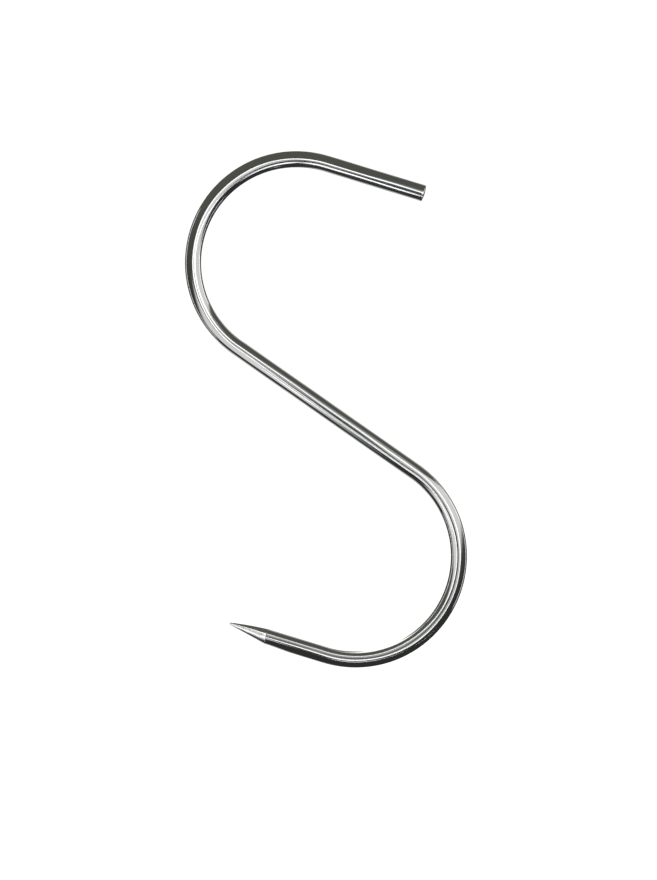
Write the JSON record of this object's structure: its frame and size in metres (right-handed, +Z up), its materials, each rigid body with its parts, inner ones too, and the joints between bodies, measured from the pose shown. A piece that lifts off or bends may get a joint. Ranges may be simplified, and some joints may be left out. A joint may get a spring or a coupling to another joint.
{
  "type": "meat hook",
  "caption": "S-shaped meat hook bent from round stainless steel rod: a cut upper end to hang on a rail and a ground point below to carry meat.",
  "frame": {"origin": "the rail seat: the inside of the upper bend at its highest point, where the hook rests on its rail", "axes": "+Z up along the line that the load pulls, from the load seat (0, 0, -0.1905) inside the lower bend to the rail seat; the hook lies in the XZ plane, +X towards its cut end, +Y square to that plane"},
  "size_m": [0.1087, 0.0064, 0.2031],
  "materials": {
    "stainless_steel": "drawn stainless steel rod, fairly bright, with fine lines along the rod and a coarser ground finish on the point"
  },
  "bodies": {
    "root": {"hook": "stainless_steel"}
  },
  "joints": []
}
